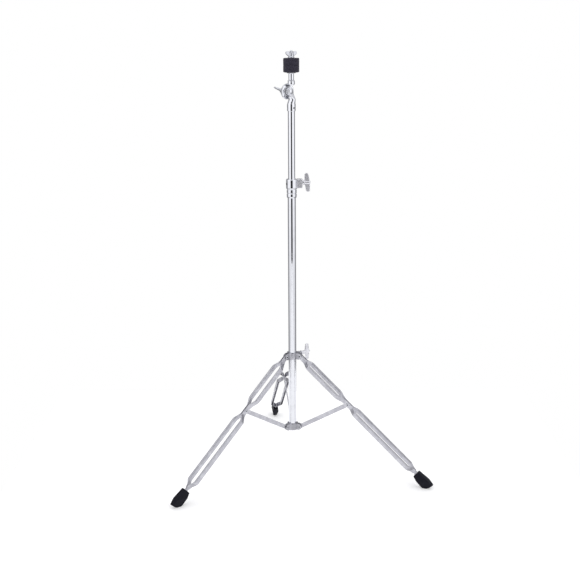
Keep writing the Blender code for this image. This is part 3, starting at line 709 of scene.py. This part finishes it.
def make_braces():
    for side in SIDES:
        line = brace_frame(side)
        length = (line.inverted() @ middle_joint(side)).x
        outline = arc((length, 0), 0.0058, -90, 90, 14) + arc((0, 0), 0.0058, 90, 270, 14)
        shape = plate(outline, STRAP_HALF_THICK, 0.0004)
        bmesh.ops.rotate(shape, cent=(0, 0, 0), matrix=Matrix.Rotation(math.pi / 2, 3, "X"),
                         verts=shape.verts)
        add("leg_brace_" + side, moved(shape, line), pressed_plate, "plated_steel",
            "brace_" + side, "brace_" + side, smooth=40.0)


# Wing bolts

def paddle_outline(base, lean, root_half, tip_half, reach):
    """Both wings of a T-shaped wing bolt: X along the bolt, Y up and down. They lean askew."""
    upper = [(base + root_half, 0.003)]
    upper += arc((base - lean, reach - tip_half), tip_half, 0, 180, 14)
    upper.append((base - root_half, 0.003))
    return upper + [(2 * base - x, -y) for x, y in upper]


def make_wing_bolt(name, node, body, line, tip, shoulder, end, reach, lean):
    """A wing bolt on its line's Z: shank, collar, rounded hub and two upright paddles."""
    shank_r = 0.0037
    profile = [(0, end), (0.0030, end), (0.0041, end - 0.0008), (0.0046, end - 0.0030),
               (0.0052, shoulder + 0.0050), (0.0066, shoulder + 0.0036), (0.0066, shoulder),
               (shank_r, shoulder), (shank_r, tip + 0.001), (shank_r - 0.001, tip), (0, tip)]
    hub = turned(profile, 48, edge=0.0006)
    outline = paddle_outline(end - 0.0085, lean, 0.0072, 0.0055, reach)
    paddles = plate(soften(outline, 0.004, closed=True, steps=3), 0.0022, 0.0016, 4)
    for vert in paddles.verts:
        vert.co.z *= 1.0 - 0.35 * (abs(vert.co.y) / reach) ** 2
    upright = axes(line.translation, line.to_3x3().col[2], UP)
    shape = carved(moved(hub, line), ("UNION", moved(paddles, upright)))
    add(name, shape, satin_chrome, "chrome", body, node)


def joint_axle(name):
    """The frame of a turning piece's axle: Z out along it, from the column's axis."""
    joint = joints[name]
    direction = Vector(joint["axis"])
    place = Vector(joint["pos_m"])
    return axle(Vector((pole.x, pole.y, place.z)), direction)


def make_wing_bolts():
    make_wing_bolt("hub_bolt_with_wings", "hub_wing_bolt", "hub_wing_bolt",
                   joint_axle("hub_bolt_turn"), BASE_TUBE_R + GAP, 0.0300, 0.0610, 0.0240,
                   0.0004)
    make_wing_bolt("clamp_bolt_with_wings", "clamp_wing_bolt", "clamp_wing_bolt",
                   joint_axle("clamp_bolt_turn"), 0.0126, 0.0300, 0.0500, 0.0255, 0.0020)


# Height clamp

def make_clamp():
    low, top = low_z("height_clamp"), high_z("height_clamp")
    waist = low + 0.0230
    ring_r, collar_r = 0.0153, 0.0136
    bore = BASE_TUBE_R + GAP
    wide = 0.01255
    step = high_z("base_tube") + 0.0002
    profile = [(ring_r - 0.0010, top), (ring_r, top - 0.0014), (ring_r, waist + 0.0040),
               (ring_r - 0.0004, waist + 0.0020), (collar_r + 0.0002, waist + 0.0006),
               (collar_r - 0.0008, waist - 0.0002), (collar_r - 0.0008, waist - 0.0012),
               (collar_r, waist - 0.0020), (collar_r, low + 0.0136),
               (collar_r - 0.0009, low + 0.0128), (collar_r - 0.0009, low + 0.0112),
               (collar_r, low + 0.0104), (collar_r, low + 0.0034), (bore + 0.0012, low),
               (bore, low), (bore, step), (wide, step), (wide, top - 0.0026),
               (UPPER_TUBE_R + GAP, top - 0.0026), (UPPER_TUBE_R + GAP, top)]
    ring = turned(profile, 96, closed=True, edge=0.0005)
    bolt = joint_axle("clamp_bolt_turn")
    outward = bolt.to_3x3().col[2]
    lug_line = axes(bolt.translation, outward, UP)
    lug_low, lug_high = -0.0148, top - bolt.translation.z + 0.0006
    outline = [(0.0128, lug_low), (0.0292, lug_low), (0.0292, lug_high), (0.0128, lug_high)]
    lug = plate(soften(outline, 0.0042, closed=True, steps=6), 0.0085, 0.0016, 4)
    core = turned([(0, 0.05), (bore + 0.0005, 0.05), (bore + 0.0005, -0.05), (0, -0.05)], 64)
    hole = turned([(0, 0.035), (0.00405, 0.035), (0.00405, 0.011), (0, 0.011)], 40)
    pin = key_line()
    pin_hole = turned([(0, 0.020), (0.0035, 0.020), (0.0035, 0.011), (0, 0.011)], 40)
    core = moved(core, Matrix.Translation(bolt.translation))
    lug = carved(moved(lug, lug_line), ("DIFFERENCE", core))
    shape = carved(moved(ring, column), ("UNION", lug), ("DIFFERENCE", moved(hole, bolt)),
                   ("DIFFERENCE", moved(pin_hole, pin)))
    clamp = add("column_clamp", shape, part_chrome, "chrome", "base", "height_clamp", smooth=38.0)
    clamp.data.materials.append(satin_chrome)
    for face in clamp.data.polygons:
        if Vector((face.center.x - pole.x, face.center.y - pole.y)).length > 0.0158:
            face.material_index = 1

    low, high = low_z("clamp_bushing"), high_z("clamp_bushing")
    inner = UPPER_TUBE_R + GAP
    profile = [(0.0122, high), (0.0122, low), (inner, low), (inner, high)]
    add("clamp_sleeve", moved(turned(profile, 64, closed=True, edge=0.0004), column), nylon,
        "nylon", "base", "clamp_bushing")
    profile = [(0, 0.0140), (0.0012, 0.0138), (0.0018, 0.0142), (0.0031, 0.0142), (0.0031, 0.0126),
               (0, 0.0126)]
    add("clamp_key", moved(turned(profile, 40, edge=0.0002), pin), nylon, "nylon", "base",
        "clamp_pin")


def key_line():
    """The line of the key in the clamp's side: Z outward through it."""
    spot = middle("clamp_pin")
    outward = Vector((spot.x - pole.x, spot.y - pole.y, 0))
    return axle(Vector((pole.x, pole.y, spot.z)), outward)


# Tilter

HEAD_FRONT, HEAD_BACK, HEAD_R = 0.0134, 0.0262, 0.0205
EAR_FRONT, EAR_BACK, EAR_R = 0.0050, 0.0115, 0.0105
SOCKET_R = 0.0115


def tilt_line():
    """X out along the tilting axis towards its wing nut, Z up; it stands on the column's axis."""
    joint = joints["tilt"]
    place = Vector((pole.x, pole.y, Vector(joint["pos_m"]).z))
    out = Vector(joint["axis"])
    return axes(place, out, UP.cross(out))


def on_tilt_axis(shape):
    """A shape turned round Z, laid along the tilting axis."""
    return moved(shape, tilt_line() @ Matrix.Rotation(math.pi / 2, 4, "Y"))


def arm_rings():
    """The arm's sections, from the round socket up to the flat ear."""
    z_axis = tilt_line().translation.z
    low = high_z("upper_tube") + 0.0040 - z_axis
    tops = [low + (-0.0165 - low) * i / 8 for i in range(9)]
    tops += [-0.0165 + (EAR_R + 0.0165) * math.sin(math.radians(90 * i / 14))
             for i in range(1, 15)]
    rings = []
    for z in tops:
        share = min(max((z - low) / (-0.0060 - low), 0), 1)
        share = share * share * (3 - 2 * share)
        lean = min(max((z + 0.0215) / 0.0195, 0), 1)
        lean = lean * lean * (3 - 2 * lean)
        front = -0.0108 + lean * (EAR_FRONT + 0.0108)
        back = 0.0105 + share * (EAR_BACK - 0.0105)
        left = 0.0104 - 0.0044 * math.sin(math.pi * min(share * 1.15, 1))
        right = -0.0106 - share * 0.0012
        if z > -0.0100:
            swell = math.sqrt(max(EAR_R ** 2 - min(z, EAR_R) ** 2, 0))
            left = max(swell, 0.0008)
            right = -0.0022 - max(swell, 0.0008)
            if z < 0:
                right = -0.0022 - EAR_R
        if -0.0165 < z <= -0.0100:
            mix = (z + 0.0165) / 0.0065
            left = left * (1 - mix) + 0.0032 * mix
        square = 1.0 - 0.45 * max(share * 2 - 1, 0)
        ring = []
        for i in range(40):
            turn = math.tau * i / 40
            x, y = math.cos(turn), math.sin(turn)
            x = math.copysign(abs(x) ** square, x)
            y = math.copysign(abs(y) ** square, y)
            ring.append(Vector(((front + back) / 2 + x * (back - front) / 2,
                                (left + right) / 2 + y * (left - right) / 2, z)))
        rings.append(ring)
    return rings


def make_tilter_base():
    low = low_z("tilter_base")
    roof = high_z("upper_tube") + GAP
    bore = UPPER_TUBE_R + GAP
    top = low + 0.0210
    profile = [(0, top), (SOCKET_R - 0.0016, top), (SOCKET_R, top - 0.0020),
               (SOCKET_R, low + 0.0008), (SOCKET_R - 0.0008, low), (bore, low), (bore, roof), (0,
               roof)]
    socket = moved(turned(profile, 80, edge=0.0006), column)
    arm = moved(loft(arm_rings()), tilt_line())
    hole = on_tilt_axis(turned([(0, 0.02), (0.00355, 0.02), (0.00355, -0.005), (0, -0.005)], 32))
    screw_spot = middle("set_screw")
    outward = Vector((screw_spot.x - pole.x, screw_spot.y - pole.y, 0))
    screw_line = axle(Vector((pole.x, pole.y, screw_spot.z)), outward)
    tap = turned([(0, 0.013), (0.0022, 0.013), (0.0022, 0.009), (0, 0.009)], 24)
    shape = carved(socket, ("UNION", arm), ("DIFFERENCE", hole),
                   ("DIFFERENCE", moved(tap, screw_line)))
    add("tilter_socket", shape, part_chrome, "chrome", "mast", "tilter_base", smooth=42.0)
    profile = [(0, 0.0104), (0.0010, 0.0104), (0.0010, 0.0112), (0.0018, 0.0111), (0.0018, 0.0100),
               (0, 0.0100)]
    add("socket_grub_screw", moved(turned(profile, 6, edge=0.0), screw_line), nylon, "nylon",
        "mast", "set_screw", smooth=30.0)


def make_tilter_bolt():
    face = EAR_FRONT - GAP
    profile = [(0, 0.0460), (0.0022, 0.0460), (0.0028, 0.0454), (0.0028, 0.0270), (0.0032, 0.0265),
               (0.0032, face), (0.0085, face), (0.0085, face - 0.0015), (0.0079, face - 0.0020),
               (0.0074, face - 0.0020), (0.0070, face - 0.0026)]
    turns = [math.radians(angle) for angle in range(15, 90, 15)]
    profile += [(0.0066 * math.cos(a), face - 0.0028 - 0.0022 * math.sin(a)) for a in turns]
    profile.append((0, face - 0.0050))
    shape = joined(turned(profile, 64, edge=0.0003), thread(0.0032, 0.0010, 0.0272, 0.0455))
    add("tilter_bolt_domed", on_tilt_axis(shape), part_chrome, "chrome", "mast", "tilter_bolt")
    profile = [(0.0115, HEAD_FRONT - GAP), (0.0115, EAR_BACK + GAP),
               (0.0036, EAR_BACK + GAP), (0.0036, HEAD_FRONT - GAP)]
    add("tilter_washer", on_tilt_axis(turned(profile, 56, closed=True, edge=0.0003)),
        pale_nylon, "nylon", "tilter_head", "friction_washer")


def neck_rings(high):
    """Sections of the neck that leans from the bowl back over the arm to the collar."""
    rings = []
    for i in range(11):
        t = i / 10
        ease = t * t * (3 - 2 * t)
        front = (HEAD_FRONT + 0.0004) * (1 - ease) + -0.0060 * ease
        back = (HEAD_BACK - 0.0046) * (1 - ease) + 0.0060 * ease
        half = 0.0085 * (1 - ease) + 0.0074 * ease
        z_front = 0.0118 * (1 - t) + (high - 0.0035) * t
        z_back = 0.0060 * (1 - t) + (high - 0.0035) * t
        ring = []
        for k in range(32):
            turn = math.tau * k / 32
            x, y = math.cos(turn), math.sin(turn)
            x = math.copysign(abs(x) ** 0.75, x)
            y = math.copysign(abs(y) ** 0.75, y)
            z = (z_front + z_back) / 2 + x * (z_back - z_front) / 2
            ring.append(Vector(((front + back) / 2 + x * (back - front) / 2, y * half, z)))
        rings.append(ring)
    return rings


def make_tilter_head():
    z_axis = tilt_line().translation.z
    high = low_z("cymbal_seat") - GAP - z_axis
    low = high - 0.0125
    bowl = [(0.0105, HEAD_BACK), (0.0140, HEAD_BACK - 0.0008), (0.0172, HEAD_BACK - 0.0030),
            (0.0194, HEAD_BACK - 0.0064), (HEAD_R, HEAD_FRONT + 0.0030),
            (HEAD_R, HEAD_FRONT + 0.0010), (HEAD_R - 0.0010, HEAD_FRONT), (0.0150, HEAD_FRONT),
            (0.0145, HEAD_FRONT + 0.0006), (0.0128, HEAD_FRONT + 0.0006),
            (0.0123, HEAD_FRONT), (0.0036, HEAD_FRONT), (0.0036, HEAD_BACK)]
    collar_r = 0.0095
    collar = [(0, high), (collar_r - 0.0008, high), (collar_r, high - 0.0010),
              (collar_r, high - 0.0030), (collar_r - 0.0004, high - 0.0036),
              (collar_r, high - 0.0042), (collar_r, low + 0.0030), (collar_r - 0.0026, low),
              (0, low)]
    socket = turned([(0, high + 0.01), (0.00425, high + 0.01), (0.00425, high - 0.008),
                     (0, high - 0.008)], 32)
    shape = carved(on_tilt_axis(turned(bowl, 96, closed=True, edge=0.0006)),
                   ("UNION", moved(loft(neck_rings(high)), tilt_line())),
                   ("UNION", moved(turned(collar, 72, edge=0.0005), tilt_line())),
                   ("DIFFERENCE", moved(socket, tilt_line())))
    add("tilter_bowl", shape, part_chrome, "chrome", "tilter_head", "tilter_head", smooth=42.0)


def make_tilter_nut():
    low, high = HEAD_BACK + GAP, 0.0400
    profile = [(0.0056, high), (0.0066, high - 0.0010), (0.0080, low + 0.0050),
               (0.0096, low + 0.0020), (0.0096, low), (0.0036, low), (0.0036, high)]
    hub = on_tilt_axis(turned(profile, 48, closed=True, edge=0.0006))
    line = tilt_line() @ Matrix.Rotation(math.radians(-61), 4, "X")
    cuts = []
    for sign in (1, -1):
        outline = [(low + 0.001, 0.0060), (high + 0.001, 0.0048), (0.0500, 0.0150)]
        outline += arc((0.0465, 0.0180), 0.0042, -10, 150, 12) + [(low + 0.001, 0.0098)]
        wing = plate(outline, 0.0016, 0.0012, 4)
        for vert in wing.verts:
            vert.co.z *= 1 + max(0.0165 - vert.co.y, 0) / 0.0115
        stand = Matrix.Rotation(math.radians(90 * sign), 4, "X")
        cuts.append(("UNION", moved(wing, line @ stand)))
    add("tilter_nut_with_wings", carved(hub, *cuts), rivet_chrome, "chrome", "tilter_wing_nut",
        "tilter_wing_nut")


# Cymbal post

ROD_R = 0.0039


def make_cymbal_post():
    low, top = low_z("cymbal_seat"), high_z("cymbal_seat")
    bore, post_r = ROD_R + GAP, 0.0073
    profile = [(0.0118, top), (0.0120, top - 0.0010), (0.0108, top - 0.0018),
               (post_r, top - 0.0022), (post_r, low + 0.0008), (post_r - 0.0006, low), (bore,
               low), (bore, top)]
    add("cymbal_cup_seat", moved(turned(profile, 72, closed=True, edge=0.0005), column),
        part_chrome, "chrome", "tilter_head", "cymbal_seat")

    low, high = low_z("cymbal_rod"), high_z("cymbal_rod")
    nut_low = low_z("top_wing_nut")
    core = ROD_R - 0.0006
    profile = [(0, high), (core - 0.0012, high), (core, high - 0.0009), (core, nut_low - 0.0040),
               (ROD_R, nut_low - 0.0046), (ROD_R, low), (0, low)]
    rod = joined(turned(profile, 40, edge=0.0003),
                 thread(ROD_R, 0.00125, nut_low - 0.0044, high - 0.0004, 36))
    add("cymbal_rod_threaded", moved(rod, column), part_chrome, "chrome", "tilter_head",
        "cymbal_rod")

    low, high = low_z("cymbal_sleeve"), high_z("cymbal_sleeve")
    profile = [(0.0062, high), (0.0062, low), (bore, low), (bore, high)]
    add("cymbal_rod_sleeve", moved(turned(profile, 48, closed=True, edge=0.0004), column), nylon,
        "nylon", "tilter_head", "cymbal_sleeve")


def make_felt(name, node, seed, upper_edge, lower_edge):
    """A thick felt washer: soft outer rims, a slight belly and a matted, uneven skin."""
    radius = (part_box(node)[1].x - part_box(node)[0].x) / 2
    bore = 0.0066
    fuzz = 0.00022
    low = low_z(node) - (fuzz if lower_edge < fuzz else 0)
    high = high_z(node) + (fuzz if upper_edge < fuzz else 0)
    outer = radius - fuzz
    tall = high - low
    side = []
    steps = 22
    for i in range(steps + 1):
        t = i / steps
        side.append((outer - 0.00015 * (2 * t - 1) ** 2, high - fuzz - (tall - 2 * fuzz) * t))
    profile = side[:]
    profile[0] = (profile[0][0] - upper_edge, side[0][1])
    profile[-1] = (profile[-1][0] - lower_edge, side[-1][1])
    top_face = [(bore + (outer - upper_edge - bore) * i / 9, high - fuzz) for i in range(9)]
    low_face = [(bore + (outer - lower_edge - bore) * i / 9, low + fuzz) for i in range(8, -1, -1)]
    for i, drop in ((1, 0.35), (2, 0.08)):
        profile[i] = (side[i][0] - upper_edge * drop, side[i][1])
        profile[-1 - i] = (side[-1 - i][0] - lower_edge * drop, side[-1 - i][1])
    shape = turned(top_face + profile + low_face, 150, closed=True)
    for vert in shape.verts:
        spot = vert.co * 420 + Vector((seed, 0, seed))
        rough = noise.noise(spot) + 0.6 * noise.noise(spot * 2.7)
        soft = noise.noise(vert.co * 120 + Vector((0, seed, 0)))
        vert.co += vert.normal * (fuzz * (0.45 * rough + 0.5 * soft))
    add(name, moved(shape, column), felt, "felt", "tilter_head", node, smooth=180.0, weigh=False)


def make_top_nut():
    low = low_z("top_wing_nut")
    line = Matrix.Translation((pole.x, pole.y, low)) @ Matrix.Rotation(math.radians(20), 4, "Z")
    bore, tall = ROD_R + GAP, 0.0135
    profile = [(0.0052, tall), (0.0060, tall - 0.0012), (0.0070, 0.0034), (0.0088, 0.0018),
               (0.0088, 0), (bore, 0), (bore, tall)]
    cuts = []
    for sign in (-1, 1):
        outline = [(0.0052, 0.0018), (0.0092, 0.0044), (0.0142, 0.0080)]
        outline += arc((0.0121, 0.0121), 0.0045, -35, 95, 12) + [(0.0052, 0.0160)]
        wing = plate([(sign * x, y) for x, y in outline], 0.0017, 0.0012, 4)
        cuts.append(("UNION", moved(wing, Matrix.Rotation(math.radians(90), 4, "X"))))
    shape = carved(turned(profile, 48, closed=True, edge=0.0006), *cuts)
    add("cymbal_nut_with_wings", moved(shape, line), rivet_chrome, "chrome", "top_wing_nut",
        "top_wing_nut")


make_column()
make_hubs()
make_legs()
make_braces()
make_wing_bolts()
make_clamp()
make_tilter_base()
make_tilter_bolt()
make_tilter_head()
make_tilter_nut()
make_cymbal_post()
make_felt("cymbal_felt_lower", "felt_lower", 3.0, 0.0001, 0.0022)
make_felt("cymbal_felt_upper", "felt_upper", 11.0, 0.0018, 0.0001)
make_top_nut()


# ---- Floor, light and camera ---------------------------------------------------------------------

CAMERA_AZIMUTH = math.radians(-8.7)
CAMERA_DISTANCE = 2.561
CAMERA_HEIGHT = 1.224
CAMERA_TILT = math.radians(15.2)
towards_camera = Vector((math.sin(CAMERA_AZIMUTH), -math.cos(CAMERA_AZIMUTH), 0))


def make_floor():
    """A white card that comes well forward of the stand and ends a little behind it."""
    shape = bmesh.new()
    front, behind, half_width = 2.5, 0.60, 0.80
    bmesh.ops.create_grid(shape, x_segments=2, y_segments=2, size=1.0)
    bmesh.ops.scale(shape, vec=(half_width, (front + behind) / 2, 1), verts=shape.verts)
    bmesh.ops.translate(shape, vec=(0, (behind - front) / 2, 0), verts=shape.verts)
    card = as_object("floor_card", moved(shape, column @ Matrix.Rotation(CAMERA_AZIMUTH, 4, "Z")))
    material, nodes, place, sockets = finish("white_card", 0.0,
                                             {"Roughness": 0.9, "Specular IOR Level": 0.1,
                                              "Emission Color": (1, 1, 1, 1),
                                              "Emission Strength": 0.25})
    fibre = nodes.grain(place, 0.004, detail=4.0)
    paper = nodes.blend(fibre, (0.90, 0.90, 0.90, 1), (0.94, 0.94, 0.94, 1))
    nodes.feed(sockets["Base Color"], paper)
    card.data.materials.append(material)


def make_studio():
    """A white studio: bright screens either side of the camera and a dark gap behind it."""
    world = bpy.data.worlds.new("studio")
    bpy.context.scene.world = world
    world.use_nodes = True
    tree = world.node_tree
    tree.nodes.clear()
    nodes = Nodes(tree)
    ray = nodes.add("ShaderNodeTexCoord", output="Generated")
    level = nodes.add("ShaderNodeVectorMath", {"operation": "MULTIPLY"}, {0: ray, 1: (1, 1, 0)})
    level = nodes.add("ShaderNodeVectorMath", {"operation": "NORMALIZE"}, {0: level})
    facing = nodes.add("ShaderNodeVectorMath", {"operation": "DOT_PRODUCT"},
                       {0: level, 1: tuple(towards_camera)}, output="Value")
    view = (towards_camera + UP * math.tan(CAMERA_TILT)).normalized()
    front = nodes.add("ShaderNodeVectorMath", {"operation": "DOT_PRODUCT"},
                      {0: ray, 1: tuple(view)}, output="Value")
    height = nodes.add("ShaderNodeSeparateXYZ", None, {0: ray}, output="Z")
    screen = nodes.between(front, -0.12, 0.12, 0.0, 1.0)
    gap = nodes.between(facing, math.cos(math.radians(27)), math.cos(math.radians(14)), 0.0, 1.0)
    gap = gap * nodes.between(height, 0.70, 0.85, 1.0, 0.0)
    ceiling = nodes.between(height, 0.30, 0.75, 0.0, 1.0)
    ground = nodes.between(height, -0.55, -0.02, 1.0, 0.0)
    glow = screen * (0.95 - 0.50 * ceiling - 0.65 * ground) + 0.30 + ceiling * 0.48
    glow = glow * (1 - gap * 0.98)
    rear = nodes.between(facing, -0.76, -0.82, 0.0, 1.0)
    rear = rear * nodes.between(facing, -0.90, -0.96, 1.0, 0.0)
    glow = glow + rear * 0.60
    seen = nodes.add("ShaderNodeLightPath", output="Is Camera Ray")
    light = nodes.add("ShaderNodeBackground", None,
                      {"Color": (0.985, 0.985, 1.0, 1), "Strength": glow})
    white = nodes.add("ShaderNodeBackground", None, {"Color": (1, 1, 1, 1), "Strength": 1.0})
    both = nodes.add("ShaderNodeMixShader", None, {0: seen, 1: light, 2: white})
    out = tree.nodes.new("ShaderNodeOutputWorld")
    nodes.feed(out.inputs["Surface"], both)


def make_camera():
    lens = bpy.data.cameras.new("camera")
    lens.sensor_width = 36.0
    lens.lens = 59.83
    lens.clip_end = 100.0
    camera = bpy.data.objects.new("camera", lens)
    bpy.context.scene.collection.objects.link(camera)
    place = pole + towards_camera * CAMERA_DISTANCE + UP * CAMERA_HEIGHT
    swing = CAMERA_AZIMUTH + math.radians(0.132)
    camera.matrix_world = (Matrix.Translation(place) @ Matrix.Rotation(swing, 4, "Z")
                           @ Matrix.Rotation(math.pi / 2 - CAMERA_TILT, 4, "X")
                           @ Matrix.Rotation(math.radians(-0.28), 4, "Z"))
    bpy.context.scene.camera = camera


make_floor()
make_studio()
make_camera()
bpy.context.scene.view_settings.view_transform = "Standard"
